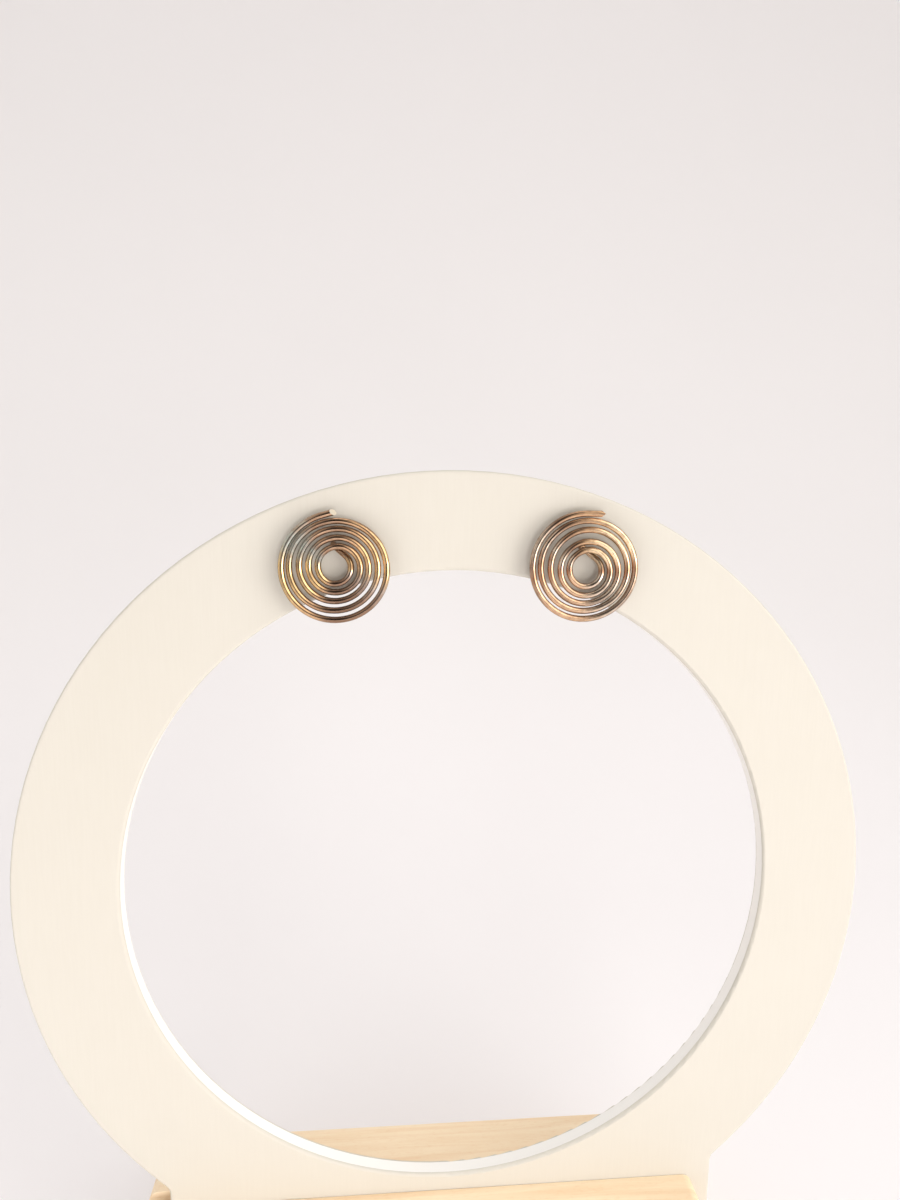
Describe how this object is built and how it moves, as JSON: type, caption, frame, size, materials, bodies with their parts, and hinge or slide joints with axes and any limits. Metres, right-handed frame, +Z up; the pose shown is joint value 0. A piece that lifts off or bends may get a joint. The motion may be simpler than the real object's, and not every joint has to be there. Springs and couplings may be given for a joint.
{
  "type": "spiral stud earrings on a ring display stand",
  "caption": "Spiral wire stud earrings pinned with plain ear nuts to a flat ring-shaped display board in a grooved wooden base.",
  "frame": {"origin": "middle of the bounding box at the level of the surface that the base stands on", "axes": "+Z up, +Y away from the viewer, through the board's thickness, +X to the right as seen from the front"},
  "size_m": [0.1132, 0.023, 0.1168],
  "materials": {
    "base_wood": "pale close-grained wood, sanded smooth, thin clear wax",
    "board_covering": "thin wooden board under matt cream paint with a fine upright texture",
    "tarnished_wire": "polished round wire with heat tarnish from gold and rose to grey-blue",
    "nut_metal": "plain satin metal"
  },
  "bodies": {
    "root": {"stand_base": "base_wood", "stand_ring": "board_covering", "left_spiral_stud": "tarnished_wire", "right_spiral_stud": "tarnished_wire", "left_ear_nut": "nut_metal", "right_ear_nut": "nut_metal"}
  },
  "joints": []
}
